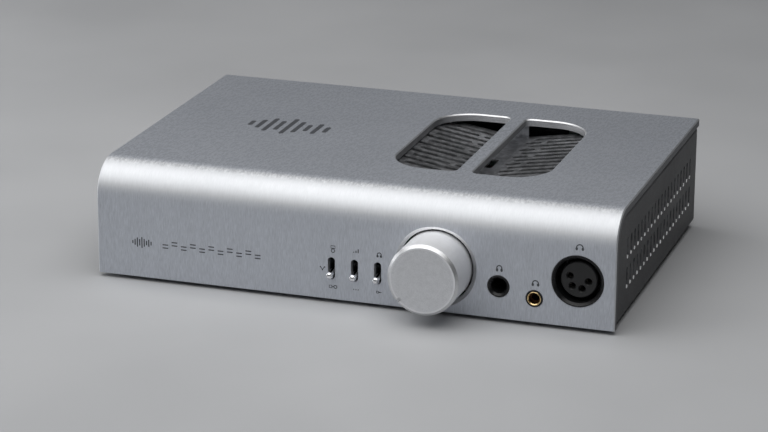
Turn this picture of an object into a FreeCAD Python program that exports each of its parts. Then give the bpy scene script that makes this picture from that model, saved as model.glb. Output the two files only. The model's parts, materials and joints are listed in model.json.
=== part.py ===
import FreeCAD, Part
import math
import os
from FreeCAD import Vector as V

# Desktop headphone amplifier. Millimetres. +X to the right seen from the front,
# -Y towards the listener, +Z up. The origin is on the table, in the middle of the four feet.

# ---- driving dimensions -------------------------------------------------
W, D = 228.6, 152.4            # width and depth of the aluminium cover
FOOT_H = 1.8                   # rubber feet
H = 50.8                       # overall height, feet included
T = 3.175                      # aluminium sheet
R_BEND = 15.0
ST = 1.2                       # steel sheet of the tray
SIDE_IN = 0.7                  # the steel sides sit this far inside the cover's ends
XF, YF, YR = W / 2, -D / 2, D / 2
ZB, ZT = FOOT_H, H             # underside of the body, top face
ZU = ZT - T                    # underside of the cover's top sheet
YI = YF + T                    # inner face of the front panel
YW = 75.7                      # outer face of the rear wall

# top vents: two D shapes, one each side of a bar, over a slotted trough
VX, VY = 37.3, 6.7             # centre of the vent
V_HALF_X, V_HALF_Y = 34.7, 43.7
V_BAR = 7.0                    # bar between the two openings
V_R_OUT, V_R_IN = 17.5, 3.4
V_CHAMFER = 0.5
TR_DEPTH = 8.9                 # trough floor below the top face
TR_SLOPE = 0.165               # rise of the wings per mm
TR_HALF_FLOOR = 5.0
TR_T = 1.0
TR_PITCH, TR_SLOT = 5.7, 2.75
TR_ROWS = 7                    # rows each side of the middle one

# side wall slots
SL_N, SL_PITCH, SL_W, SL_Y0 = 20, 6.18, 2.7, -54.3
SL_ROWS = [(13.3, 22.7), (26.3, 35.7)]

# front controls
TG_X = [-8.05, 2.16, 12.32]
TG_Z, TG_SLOT_W, TG_SLOT_H = 15.4, 3.2, 9.7
TG_PIVOT_Y, TG_TILT = -67.2, 12.0
KX, KZ, KR, K_PROUD, K_HOLE_R = 37.7, 21.2, 15.25, 18.9, 16.05
K_NOTCH = -132.5               # notch, degrees clockwise from twelve o'clock
J6 = (64.72, 15.74, 4.75)
J3 = (80.09, 12.16, 3.65)
X4 = (98.22, 21.7, 11.03)

# electronics
PCB_Z0, PCB_Z1 = 7.2, 8.8
PZ = PCB_Z1

# rear connectors
IEC = (-93.0, 20.5)
RK = (-66.0, 20.5)
XLR_OUT_X, XLR_IN_X, XLR_Z, XLR_R = [-45.0, -21.0], [3.0, 27.0], 22.0, 11.0
RCA_X, RCA_Z = [47.5, 61.0], [15.5, 31.0]
RCA_R = 4.15
REAR_SCREWS = [(-96.0, 42.8), (-9.0, 42.8), (61.5, 43.4)]
BASE_SCREWS = [(-93.0, -69.0), (93.0, -69.0)]

OUT = "parts"


# ---- helpers ------------------------------------------------------------
def box(x0, x1, y0, y1, z0, z1):
    return Part.makeBox(x1 - x0, y1 - y0, z1 - z0, V(x0, y0, z0))


def cyl(r, p, d, h):
    return Part.makeCylinder(r, h, V(*p), V(*d))


def cone(r0, r1, p, d, h):
    return Part.makeCone(r0, r1, h, V(*p), V(*d))


def tube(ro, ri, p, d, h):
    return cyl(ro, p, d, h).cut(cyl(ri, p, d, h))


def poly(points, d):
    w = Part.makePolygon([V(*p) for p in points] + [V(*points[0])])
    return Part.Face(w).extrude(V(*d))


def round_outline(corners):
    """Closed outline in a plane from (u, v, radius) corners, as lists of segments."""
    n, out = len(corners), []
    for i, (u, v, r) in enumerate(corners):
        pu, pv, _ = corners[i - 1]
        nu, nv, _ = corners[(i + 1) % n]
        a = (pu - u, pv - v)
        b = (nu - u, nv - v)
        la, lb = math.hypot(*a), math.hypot(*b)
        a, b = (a[0] / la, a[1] / la), (b[0] / lb, b[1] / lb)
        if r <= 0:
            out.append(((u, v), None, (u, v)))
            continue
        cosang = a[0] * b[0] + a[1] * b[1]
        half = math.acos(max(-1, min(1, cosang))) / 2
        t = r / math.tan(half)
        s = (u + a[0] * t, v + a[1] * t)
        e = (u + b[0] * t, v + b[1] * t)
        bis = (a[0] + b[0], a[1] + b[1])
        lbis = math.hypot(*bis)
        c = (u + bis[0] / lbis * r / math.sin(half), v + bis[1] / lbis * r / math.sin(half))
        m = (c[0] - bis[0] / lbis * r, c[1] - bis[1] / lbis * r)
        out.append((s, m, e))
    return out


def prism(corners, to3d, direction):
    """Extrudes a rounded outline. to3d maps (u, v) to a point."""
    segs = round_outline(corners)
    edges = []
    for i, (s, m, e) in enumerate(segs):
        ps = segs[i - 1][2]
        if math.hypot(ps[0] - s[0], ps[1] - s[1]) > 1e-6:
            edges.append(Part.LineSegment(to3d(*ps), to3d(*s)).toShape())
        if m is not None:
            edges.append(Part.Arc(to3d(*s), to3d(*m), to3d(*e)).toShape())
    w = Part.Wire(Part.__sortEdges__(edges))
    return Part.Face(w).extrude(V(*direction))


def rrect(u0, u1, v0, v1, r, to3d, direction):
    return prism([(u0, v0, r), (u1, v0, r), (u1, v1, r), (u0, v1, r)], to3d, direction)


def xz(y):
    return lambda u, v: V(u, y, v)


def xy(z):
    return lambda u, v: V(u, v, z)


def yz(x):
    return lambda u, v: V(x, u, v)


def plane_edges(shape, axis, value, keep=None):
    """Edges of a shape that lie in the plane axis = value."""
    got = []
    for e in shape.Edges:
        b = e.BoundBox
        lo, hi = {"x": (b.XMin, b.XMax), "y": (b.YMin, b.YMax), "z": (b.ZMin, b.ZMax)}[axis]
        if abs(lo - value) < 1e-4 and abs(hi - value) < 1e-4 and (keep is None or keep(b)):
            got.append(e)
    return got


def fuse(shapes):
    s = shapes[0]
    if len(shapes) > 1:
        s = s.multiFuse(shapes[1:])
    return s.removeSplitter()


def group(shapes):
    return Part.makeCompound(shapes)


def wire_tube(points, r, bend):
    """A round wire along straight runs joined by tangent arcs."""
    pts = [V(*p) for p in points]
    edges, last = [], pts[0]
    for i in range(1, len(pts) - 1):
        a = (pts[i - 1] - pts[i]).normalize()
        b = (pts[i + 1] - pts[i]).normalize()
        half = math.acos(max(-1, min(1, a.dot(b)))) / 2
        la, lb = (pts[i - 1] - pts[i]).Length, (pts[i + 1] - pts[i]).Length
        rad = min(bend, 0.45 * min(la, lb) * math.tan(half))
        t = rad / math.tan(half)
        s, e = pts[i] + a * t, pts[i] + b * t
        bis = (a + b).normalize()
        m = pts[i] + bis * (rad / math.sin(half) - rad)
        edges.append(Part.LineSegment(last, s).toShape())
        edges.append(Part.Arc(s, m, e).toShape())
        last = e
    edges.append(Part.LineSegment(last, pts[-1]).toShape())
    path = Part.Wire(edges)
    c = Part.Wire([Part.Circle(pts[0], (pts[1] - pts[0]).normalize(), r).toShape()])
    return path.makePipeShell([c], True, False)


def pan_screw(p, d, shank, r=1.45, head_r=2.75, head_h=1.6, socket=True):
    """Head outside at p, shank along d from p."""
    dv = V(*d)
    head = cyl(head_r, p, (-dv.x, -dv.y, -dv.z), head_h)
    try:
        top = V(*p) - dv * head_h
        rim = [e for e in head.Edges if abs((e.CenterOfMass - top).Length) < 1e-3 and e.Length > 2 * math.pi * head_r * 0.9]
        head = head.makeFillet(0.5, rim[:1])
    except Exception:
        pass
    s = head.fuse(cyl(r, p, d, shank)).removeSplitter()
    if socket:
        a = V(*p) - dv * head_h
        six = hexagon(a, dv, 1.0, 1.1)
        s = s.cut(six)
    return s


def hexagon(a, dv, af_half, h):
    """Hexagonal prism from a along dv."""
    up = V(0, 0, 1) if abs(dv.z) < 0.9 else V(1, 0, 0)
    u = dv.cross(up).normalize()
    w = dv.cross(u).normalize()
    r = af_half / math.cos(math.pi / 6)
    pts = [a + u * (r * math.cos(k * math.pi / 3)) + w * (r * math.sin(k * math.pi / 3)) for k in range(6)]
    return Part.Face(Part.makePolygon(pts + [pts[0]])).extrude(dv * h)


def turn(shape, centre, axis, deg):
    s = shape.copy()
    s.rotate(V(*centre), V(*axis), deg)
    return s


parts = {}


# ---- aluminium cover: one bent sheet, front panel and top ----------------
def make_cover():
    yo, yi = YF, YI
    yc, zc = YF + R_BEND, ZT - R_BEND
    ri = R_BEND - T
    s = math.sqrt(0.5)
    e = [
        Part.LineSegment(V(-XF, yo, ZB), V(-XF, yo, zc)).toShape(),
        Part.Arc(V(-XF, yo, zc), V(-XF, yc - R_BEND * s, zc + R_BEND * s), V(-XF, yc, ZT)).toShape(),
        Part.LineSegment(V(-XF, yc, ZT), V(-XF, YR, ZT)).toShape(),
        Part.LineSegment(V(-XF, YR, ZT), V(-XF, YR, ZU)).toShape(),
        Part.LineSegment(V(-XF, YR, ZU), V(-XF, yc, ZU)).toShape(),
        Part.Arc(V(-XF, yc, ZU), V(-XF, yc - ri * s, zc + ri * s), V(-XF, yi, zc)).toShape(),
        Part.LineSegment(V(-XF, yi, zc), V(-XF, yi, ZB)).toShape(),
        Part.LineSegment(V(-XF, yi, ZB), V(-XF, yo, ZB)).toShape(),
    ]
    s0 = Part.Face(Part.Wire(e)).extrude(V(W, 0, 0))
    # broken outer edges at both ends, at the foot and at the rear
    edges = []
    for x in (-XF, XF):
        edges += plane_edges(
            s0, "x", x,
            lambda b: (abs(b.YMin - yo) < 1e-4 and b.ZMax <= zc + 1e-3 and abs(b.YMax - yo) < 1e-4)
            or (abs(b.ZMax - ZT) < 1e-3 and b.ZMin >= zc - 1e-3 and b.YMax < YR - 1 and b.YMin < yc - 1 and b.YMin < yo + 0.01)
            or (abs(b.ZMin - ZT) < 1e-4),
        )
    s0 = s0.makeChamfer(0.5, edges)
    # vents
    for sgn in (-1, 1):
        xo = VX + sgn * V_HALF_X
        xi = VX + sgn * V_BAR / 2
        c = [(xo, VY - V_HALF_Y, V_R_OUT), (xi, VY - V_HALF_Y, V_R_IN), (xi, VY + V_HALF_Y, V_R_IN), (xo, VY + V_HALF_Y, V_R_OUT)]
        s0 = s0.cut(prism(c, xy(ZU - 1), (0, 0, T + 2)))
    ve = plane_edges(s0, "z", ZT, lambda b: b.XMin > VX - V_HALF_X - 1 and b.XMax < VX + V_HALF_X + 1 and b.YMin > VY - V_HALF_Y - 1 and b.YMax < VY + V_HALF_Y + 1)
    s0 = s0.makeChamfer(V_CHAMFER, ve)
    # front openings
    for x in TG_X:
        h, w = TG_SLOT_H / 2, TG_SLOT_W / 2
        s0 = s0.cut(rrect(x - w, x + w, TG_Z - h, TG_Z + h, w - 0.01, xz(YF - 1), (0, T + 2, 0)))
    # the knob's hole has a wide shallow bevel, the sockets' holes a broken edge
    for (x, z, r), c, dp in (((KX, KZ, K_HOLE_R), 1.55, 0.8), (J6, 0.12, 0.12), (J3, 0.12, 0.12), (X4, 0.15, 0.15)):
        s0 = s0.cut(cyl(r, (x, YF - 1, z), (0, 1, 0), T + 2))
        k = 0.5 / dp
        s0 = s0.cut(cone(r + c * (1 + k), r, (x, YF - 0.5, z), (0, 1, 0), dp + 0.5))
    return s0


parts["outer_cover"] = make_cover()


# ---- steel tray: floor, slotted sides with a top flange, rear wall -------
def make_tray():
    xo = XF - SIDE_IN
    zt = ZU - 0.1
    outer = rrect(-xo, xo, ZB, zt, 2.4, xz(YI + 0.1), (0, YW - YI - 0.1, 0))
    inner = rrect(-xo + ST, xo - ST, ZB + ST, zt - ST, 1.2, xz(YI - 1), (0, YW - YI + 3, 0))
    s = outer.cut(inner)
    s = s.cut(box(-xo + 11, xo - 11, YI - 1, YW + 1, zt - ST - 0.5, zt + 1))
    s = s.cut(box(-xo + ST, xo - ST, YI - 1, YF + R_BEND + 3, zt - 4, zt + 1))
    # front top corners of the sides follow the inside of the cover's bend
    yc, zc, r = YF + R_BEND, ZT - R_BEND, R_BEND - T - 0.1
    corner = box(-xo - 1, xo + 1, YI - 1, yc, zc, zt + 1).cut(cyl(r, (-xo - 1, yc, zc), (1, 0, 0), 2 * xo + 2))
    s = s.cut(corner)
    # rear wall
    s = s.fuse(box(-xo + ST, xo - ST, YW - ST, YW, ZB, zt)).removeSplitter()
    cuts = []
    for x0 in (-xo - 1, xo - ST - 1):
        for z0, z1 in SL_ROWS:
            for i in range(SL_N):
                y = SL_Y0 + i * SL_PITCH
                cuts.append(rrect(y - SL_W / 2, y + SL_W / 2, z0, z1, SL_W / 2 - 0.01, yz(x0), (ST + 2, 0, 0)))
    yb = YW - ST - 1
    d = (0, ST + 2, 0)
    cuts.append(rrect(IEC[0] - 13.9, IEC[0] + 13.9, IEC[1] - 10.2, IEC[1] + 10.2, 1.0, xz(yb), d))
    cuts.append(rrect(RK[0] - 6.5, RK[0] + 6.5, RK[1] - 9.7, RK[1] + 9.7, 0.5, xz(yb), d))
    for x in XLR_OUT_X + XLR_IN_X:
        cuts.append(cyl(XLR_R + 0.1, (x, yb, XLR_Z), (0, 1, 0), ST + 2))
        for dx, dz in ((-9.5, 9.8), (9.5, -9.8)):
            cuts.append(cyl(1.6, (x + dx, yb, XLR_Z + dz), (0, 1, 0), ST + 2))
    for x in RCA_X:
        for z in RCA_Z:
            cuts.append(cyl(5.0, (x, yb, z), (0, 1, 0), ST + 2))
    cuts.append(rrect(73.5, 106.5, 8.0, 37.0, 1.5, xz(yb), d))
    for x in (71.3, 108.7):
        cuts.append(cyl(1.5, (x, yb, 22.5), (0, 1, 0), ST + 2))
    for x, z in REAR_SCREWS:
        cuts.append(cyl(1.6, (x, yb, z), (0, 1, 0), ST + 2))
    for x, y in BASE_SCREWS:
        cuts.append(cyl(1.6, (x, y, ZB - 1), (0, 0, 1), ST + 2))
    for x, y in TX_SCREWS:
        cuts.append(cyl(1.6, (x, y, ZB - 1), (0, 0, 1), ST + 2))
    return s.cut(Part.makeCompound(cuts)).removeSplitter()


TXC = (-77.5, 20.0)            # transformer centre
TX_SCREWS = [(TXC[0], TXC[1] - 30.5), (TXC[0], TXC[1] + 30.5)]
parts["chassis_tray"] = make_tray()


# ---- slotted trough under the vents -------------------------------------
def make_trough():
    zf = ZT - TR_DEPTH
    t = TR_T
    zu = ZU - 0.05
    run = (zu - zf) / TR_SLOPE
    xe = TR_HALF_FLOOR + run
    xfl = xe + 7.5
    # top outline from left to right, then the underside back
    top = [(-xfl, zu), (-xe, zu), (-TR_HALF_FLOOR, zf), (TR_HALF_FLOOR, zf), (xe, zu), (xfl, zu)]
    k = math.tan(math.atan(TR_SLOPE) / 2) * t
    bot = [(xfl, zu - t), (xe + k, zu - t), (TR_HALF_FLOOR + k, zf - t), (-TR_HALF_FLOOR - k, zf - t), (-xe - k, zu - t), (-xfl, zu - t)]
    y0, y1 = VY - V_HALF_Y - 0.2, VY + V_HALF_Y + 2.3
    c = [(VX + u, v, 0) for u, v in top + bot]
    for i in (1, 2, 3, 4, 7, 8, 9, 10):
        c[i] = (c[i][0], c[i][1], 2.2 if i < 5 else 1.6)
    s = prism(c, xz(y0), (0, y1 - y0, 0))
    for ya in (y0, y1 - t):      # end tabs turned up from the floor
        s = s.fuse(box(VX - 4.3, VX + 4.3, ya, ya + t, zf - t / 2, zu))
    s = s.removeSplitter()
    cuts = []
    for n in range(-TR_ROWS, TR_ROWS + 1):
        y = VY + n * TR_PITCH
        spans = [(6.0, 13.4), (15.6, 32.6)] if n % 2 == 0 else [(8.6, 36.4)]
        for a, b in spans:
            for sgn in (-1, 1):
                u0, u1 = sorted((VX + sgn * a, VX + sgn * b))
                cuts.append(rrect(u0, u1, y - TR_SLOT / 2, y + TR_SLOT / 2, TR_SLOT / 2 - 0.01, xy(zf - 3), (0, 0, 14)))
    cuts.append(rrect(VX - 1.7, VX + 1.7, VY - 6.5, VY + 6.5, 1.0, xy(zf - 3), (0, 0, 6)))
    for sx in (-1, 1):
        for y in TR_STUD_Y:
            cuts.append(cyl(1.6, (VX + sx * (xe + 4.2), y, zf), (0, 0, 1), 12))
    return s.cut(Part.makeCompound(cuts)), xe


TR_STUD_Y = [VY - 34.0, VY + 34.0]
parts["vent_trough"], TR_XE = make_trough()
studs, nuts = [], []
for sx in (-1, 1):
    for y in TR_STUD_Y:
        x = VX + sx * (TR_XE + 4.2)
        studs.append(cyl(1.45, (x, y, ZU), (0, 0, -1), 5.2))
        n = hexagon(V(x, y, ZU - 0.05 - TR_T - 0.02), V(0, 0, -1), 2.75, 2.2)
        nuts.append(n.cut(cyl(1.5, (x, y, ZU), (0, 0, -1), 8)))
parts["trough_studs"] = group(studs)
parts["trough_nuts"] = group(nuts)


# ---- feet ---------------------------------------------------------------
feet = []
for sx in (-1, 1):
    for sy in (-1, 1):
        f = cyl(6.0, (sx * 100.0, sy * 62.0, 0), (0, 0, 1), FOOT_H)
        f = f.makeChamfer(0.5, plane_edges(f, "z", 0.0))
        feet.append(f)
parts["rubber_feet"] = group(feet)


# ---- volume control -----------------------------------------------------
def make_knob():
    y0, y1 = YF - K_PROUD, YF + 2.0
    a = (0, 1, 0)
    s = cyl(KR, (KX, y0, KZ), a, y1 - y0)
    s = s.makeChamfer(1.2, plane_edges(s, "y", y0))
    s = s.makeChamfer(0.4, plane_edges(s, "y", y1))
    s = s.cut(tube(12.8, 7.0, (KX, y1 - 12.0, KZ), a, 13.0))
    s = s.cut(cyl(3.02, (KX, y1 - 17.0, KZ), a, 18.0))
    # radial index groove across the front edge, drawn at twelve o'clock
    g = box(KX - 0.75, KX + 0.75, y0 - 1, y0 + 1.6, KZ + KR - 2.5, KZ + KR + 1)
    s = s.cut(turn(g, (KX, 0, KZ), (0, 1, 0), K_NOTCH))
    # set screw hole through the wall and the hub, beside the groove's own radius
    h = cyl(1.5, (KX, y1 - 6.0, KZ), (0, 0, 1), 20)
    return s.cut(turn(h, (KX, 0, KZ), (0, 1, 0), K_NOTCH))


parts["volume_knob"] = make_knob()
gs = cyl(1.48, (KX, YF + 2.0 - 6.0, KZ + 3.05), (0, 0, 1), 4.5)
gs = gs.cut(hexagon(V(KX, YF - 4.0, KZ + 7.55), V(0, 0, -1), 0.75, 1.8))
parts["knob_set_screw"] = turn(gs, (KX, 0, KZ), (0, 1, 0), K_NOTCH)
parts["pot_shaft"] = cyl(3.0, (KX, YF + 2.0 - 16.6, KZ), (0, 1, 0), 31.6)
PB0 = -60.0                    # front face of the potentiometer body
body = rrect(KX - 12.5, KX + 12.5, PZ + 0.4, 2 * KZ - PZ - 0.4, 1.5, xz(PB0), (0, 19.0, 0))
body = body.fuse(cyl(4.5, (KX, PB0, KZ), (0, -1, 0), 7.5)).removeSplitter()
body = body.cut(cyl(3.05, (KX, PB0 - 8, KZ), (0, 1, 0), 14.0))
pins = [box(KX + dx - 0.5, KX + dx + 0.5, yy - 0.4, yy + 0.4, PZ - 1.2, PZ + 0.5) for dx in (-7.5, 0, 7.5) for yy in (-55.0, -48.0)]
parts["pot_body"] = fuse([body] + pins)
br = box(KX - 15, KX + 15, PB0 - 1.5, PB0, PZ, KZ + 13).fuse(box(KX - 15, KX + 15, PB0 - 8, PB0, PZ, PZ + 1.2)).removeSplitter()
br = br.cut(cyl(4.6, (KX, PB0 - 3, KZ), (0, 1, 0), 6))
for dx in (-11, 11):
    br = br.cut(cyl(1.6, (KX + dx, PB0 - 4.8, PZ - 1), (0, 0, 1), 4))
parts["pot_bracket"] = br
parts["pot_washer"] = tube(7.0, 4.6, (KX, PB0 - 1.5, KZ), (0, -1, 0), 0.6)
parts["pot_nut"] = hexagon(V(KX, PB0 - 2.1, KZ), V(0, -1, 0), 6.0, 2.6).cut(cyl(4.55, (KX, PB0 - 1, KZ), (0, -1, 0), 6))


# ---- toggle switches ----------------------------------------------------
def make_toggle_body(x):
    b = rrect(x - 4.0, x + 4.0, PZ, 22.2, 0.5, xz(-72.6), (0, 11.6, 0))
    b = b.fuse(rrect(x - 1.45, x + 1.45, TG_Z - 4.7, TG_Z + 4.7, 1.44, xz(-74.0), (0, 2.0, 0))).removeSplitter()
    b = b.cut(rrect(x - 1.5, x + 1.5, TG_Z - 4.4, TG_Z + 4.4, 1.0, xz(-75.0), (0, 5.0, 0)))
    b = b.cut(box(x - 1.5, x + 1.5, -70.5, TG_PIVOT_Y, TG_Z - 3.6, TG_Z + 3.6))
    b = b.cut(cyl(2.5, (x - 1.5, TG_PIVOT_Y, TG_Z), (1, 0, 0), 3.0))
    b = b.cut(cyl(0.85, (x - 3.0, TG_PIVOT_Y, TG_Z), (1, 0, 0), 6.0))
    return b


def make_lever(x):
    y = TG_PIVOT_Y
    hub = cyl(1.9, (x - 1.2, y, TG_Z), (1, 0, 0), 2.4)
    pin = cyl(0.8, (x - 2.9, y, TG_Z), (1, 0, 0), 5.8)
    neck = cone(0.95, 1.1, (x, y - 1.2, TG_Z), (0, -1, 0), 6.8)
    bat = cone(1.1, 1.52, (x, y - 8.0, TG_Z), (0, -1, 0), 3.6)
    tip = Part.makeSphere(1.55, V(x, y - 11.6, TG_Z))
    s = fuse([hub, pin, neck, bat, tip])
    return turn(s, (x, y, TG_Z), (1, 0, 0), TG_TILT)


parts["toggle_bodies"] = group([make_toggle_body(x) for x in TG_X])
for name, x in zip(("input_lever", "gain_lever", "output_lever"), TG_X):
    parts[name] = make_lever(x)
solder_pins = []
for x in TG_X:
    for yy in (-69.8, -66.8, -63.8):
        solder_pins.append(box(x - 0.4, x + 0.4, yy - 0.3, yy + 0.3, PZ - 2.6, PZ))


# ---- headphone sockets --------------------------------------------------
def make_jack6():
    x, z, r = J6
    s = rrect(x - 7.8, x + 7.8, PZ, 23.6, 0.6, xz(YI + 0.1), (0, 29.0, 0))
    s = s.fuse(cyl(r - 0.1, (x, YF - 0.25, z), (0, 1, 0), T + 1.0)).removeSplitter()
    s = s.cut(cyl(3.25, (x, YF - 1, z), (0, 1, 0), 29.0))
    s = s.cut(cone(4.05, 3.25, (x, YF - 0.25, z), (0, 1, 0), 0.9))
    return s.makeFillet(0.2, plane_edges(s, "y", YF - 0.25, lambda b: b.XMax - b.XMin > 9.0))


parts["jack_635_body"] = make_jack6()
solder_pins += [box(J6[0] + dx - 0.5, J6[0] + dx + 0.5, y - 0.3, y + 0.3, PZ - 3, PZ) for dx in (-6, 6) for y in (-66, -58, -50)]


def make_jack3():
    x, z, r = J3
    s = rrect(x - 4.6, x + 4.6, PZ, 17.8, 0.5, xz(YI + 0.1), (0, 16.0, 0))
    s = s.fuse(cyl(r - 0.1, (x, YF - 0.2, z), (0, 1, 0), T + 1.0)).removeSplitter()
    s = s.cut(cyl(2.95, (x, YF - 1, z), (0, 1, 0), 16.0))
    return s


parts["jack_35_body"] = make_jack3()
b3 = cyl(2.93, (J3[0], YF - 0.35, J3[1]), (0, 1, 0), 14.8)
b3 = b3.cut(cyl(1.8, (J3[0], YF - 1, J3[1]), (0, 1, 0), 20))
b3 = b3.cut(cone(2.62, 2.36, (J3[0], YF - 0.35, J3[1]), (0, 1, 0), 0.3))
b3 = b3.cut(cyl(2.36, (J3[0], YF - 0.35, J3[1]), (0, 1, 0), 3.2))
b3 = b3.makeFillet(0.18, plane_edges(b3, "y", YF - 0.35, lambda b: b.XMax - b.XMin > 5.5))
parts["jack_35_bushing"] = b3
solder_pins += [box(J3[0] + dx - 0.4, J3[0] + dx + 0.4, y - 0.3, y + 0.3, PZ - 2.6, PZ) for dx in (-3, 3) for y in (-69, -62)]
parts["solder_pins"] = group(solder_pins)


def xlr_shell(x, z, yface, sgn, hole_r, depth=16.0, inner_r=9.6, proud=0.3, half=12.6, zbox=(PZ, 36.0), back=3.5):
    """Round socket shell. sgn +1: the face looks to -Y and the body goes to +Y; -1: the reverse."""
    a = (0, sgn, 0)
    y0 = yface - sgn * proud
    s = cyl(hole_r - 0.1, (x, y0, z), a, proud + 4.2)
    ya, yb = sorted((yface + sgn * 3.3, yface + sgn * (depth + back)))
    s = s.fuse(rrect(x - half, x + half, zbox[0], zbox[1], 1.0, xz(ya), (0, yb - ya, 0))).removeSplitter()
    s = s.cut(cyl(inner_r, (x, y0 - sgn, z), a, proud + 1 + depth))
    s = s.cut(cone(hole_r - 0.55, inner_r, (x, y0, z), a, 1.1))
    return s


def pin_angles(n):
    if n == 4:
        return [161, 227, 290, 353]
    return [180 + 30 - 60, 0 + 30, 270]


def xlr_insert(x, z, yface, sgn, n, recess=2.2, depth=16.0, r=7.6):
    a = (0, sgn, 0)
    y0 = yface + sgn * recess
    s = cyl(r, (x, y0, z), a, depth - recess)
    s = s.makeChamfer(0.5, plane_edges(s, "y", y0))
    for d in pin_angles(n):
        px, pz = x + 4.05 * math.cos(math.radians(d)), z + 4.05 * math.sin(math.radians(d))
        s = s.cut(cyl(1.3, (px, y0 - sgn, pz), a, 11.0))
        s = s.cut(cone(1.65, 1.3, (px, y0, pz), a, 0.45))
    if n == 3:
        k = sorted((y0 - sgn, y0 + sgn * 9.0))
        s = s.cut(box(x - 1.5, x + 1.5, k[0], k[1], z + r - 1.1, z + r + 1))
    return s


def xlr_contacts(x, z, yface, sgn, n, recess=2.2):
    a = (0, sgn, 0)
    out = []
    for d in pin_angles(n):
        px, pz = x + 4.05 * math.cos(math.radians(d)), z + 4.05 * math.sin(math.radians(d))
        out.append(tube(1.27, 1.15, (px, yface + sgn * (recess + 2.5), pz), a, 7.0))
    return out


x, z, r = X4
parts["xlr4_shell"] = xlr_shell(x, z, YF, 1, r, zbox=(PZ, 35.2))
parts["xlr4_insert"] = xlr_insert(x, z, YF, 1, 4, r=7.9)
contacts = xlr_contacts(x, z, YF, 1, 4)

# ---- rear sockets -------------------------------------------------------
REAR_BACK = dict(half=11.6, zbox=(PZ, 35.0))
shells = []
for x in XLR_OUT_X:
    s = xlr_shell(x, XLR_Z, YW, -1, XLR_R, depth=14.0, inner_r=8.1, **REAR_BACK)
    for dx, dz in ((-9.5, 9.8), (9.5, -9.8)):
        s = s.cut(cyl(1.25, (x + dx, YW - 10.0, XLR_Z + dz), (0, 1, 0), 12))
    for d in (30, 150, 270):
        px, pz = x + 3.9 * math.cos(math.radians(d)), XLR_Z + 3.9 * math.sin(math.radians(d))
        s = s.cut(cyl(1.22, (px, YW - 17.4, pz), (0, 1, 0), 5))
    shells.append(s)
parts["xlr_out_shells"] = group(shells)
pins = []
for x in XLR_OUT_X:
    for d in (30, 150, 270):
        px, pz = x + 3.9 * math.cos(math.radians(d)), XLR_Z + 3.9 * math.sin(math.radians(d))
        p = cyl(1.2, (px, YW - 17.2, pz), (0, 1, 0), 14.2)
        pins.append(p.makeFillet(0.7, plane_edges(p, "y", YW - 3.0)))
parts["xlr_out_pins"] = group(pins)
shells, inserts = [], []
for x in XLR_IN_X:
    s = xlr_shell(x, XLR_Z, YW, -1, XLR_R, depth=14.0, **REAR_BACK)
    for dx, dz in ((-9.5, 9.8), (9.5, -9.8)):
        s = s.cut(cyl(1.25, (x + dx, YW - 10.0, XLR_Z + dz), (0, 1, 0), 12))
    shells.append(s)
    inserts.append(xlr_insert(x, XLR_Z, YW, -1, 3, depth=14.0))
    contacts += xlr_contacts(x, XLR_Z, YW, -1, 3)
parts["xlr_in_shells"] = group(shells)
parts["xlr_in_inserts"] = group(inserts)
parts["xlr_socket_contacts"] = group(contacts)
sc = []
for x in XLR_OUT_X + XLR_IN_X:
    for dx, dz in ((-9.5, 9.8), (9.5, -9.8)):
        sc.append(pan_screw((x + dx, YW, XLR_Z + dz), (0, -1, 0), 8.0, r=1.2, head_r=2.2, head_h=1.3))
parts["xlr_screws"] = group(sc)

barrels, insul, cents, bodies = [], [], [], []
for x in RCA_X:
    b = rrect(x - 6.2, x + 6.2, PZ, 38.0, 0.6, xz(YW - ST - 13.0), (0, 13.0, 0))
    for z in RCA_Z:
        b = b.fuse(cyl(4.95, (x, YW - ST - 1, z), (0, 1, 0), ST + 1.6))
    b = b.removeSplitter()
    for z in RCA_Z:
        b = b.cut(cyl(RCA_R - 0.23, (x, YW - 9, z), (0, 1, 0), 14))
        br_ = cyl(RCA_R, (x, YW + 0.7, z), (0, 1, 0), 8.5).fuse(cyl(RCA_R - 0.25, (x, YW - 7.0, z), (0, 1, 0), 8.0)).removeSplitter()
        br_ = br_.cut(cyl(3.2, (x, YW - 8.0, z), (0, 1, 0), 20.0))
        br_ = br_.makeChamfer(0.3, plane_edges(br_, "y", YW + 9.2, lambda q: q.XMax - q.XMin > 7.0))
        barrels.append(br_)
        i_ = tube(3.18, 1.85, (x, YW - 7.0, z), (0, 1, 0), 15.4)
        insul.append(i_)
        c_ = tube(1.83, 1.62, (x, YW - 6.5, z), (0, 1, 0), 14.4)
        cents.append(c_)
    bodies.append(b)
parts["rca_bodies"] = group(bodies)
parts["rca_barrels"] = group(barrels)
parts["rca_insulators"] = group(insul)
parts["rca_centre_contacts"] = group(cents)

# mains inlet: a recess with three blades
x, z = IEC
s = rrect(x - 13.7, x + 13.7, z - 10.0, z + 10.0, 1.0, xz(YW - 22.0), (0, 22.0, 0))
s = s.fuse(rrect(x - 15.5, x + 15.5, z - 12.2, z + 12.2, 2.0, xz(YW), (0, 2.4, 0))).removeSplitter()
rec = [(x - 11.9, z + 8.1, 1.0), (x - 11.9, z - 3.9, 1.0), (x - 7.7, z - 8.1, 1.0), (x + 7.7, z - 8.1, 1.0), (x + 11.9, z - 3.9, 1.0), (x + 11.9, z + 8.1, 1.0)]
s = s.cut(prism(rec, xz(YW - 15.5), (0, 20.0, 0)))
BL = [(x - 7.0, z - 1.6), (x, z + 2.6), (x + 7.0, z - 1.6)]
blades = []
for bx, bz in BL:
    s = s.cut(box(bx - 1.05, bx + 1.05, YW - 23, YW - 14, bz - 2.05, bz + 2.05))
    b = box(bx - 1.0, bx + 1.0, YW - 25.0, YW - 4.5, bz - 2.0, bz + 2.0)
    blades.append(b.makeChamfer(0.5, plane_edges(b, "y", YW - 4.5)))
parts["mains_inlet_body"] = s
parts["mains_inlet_blades"] = group(blades)

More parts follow.
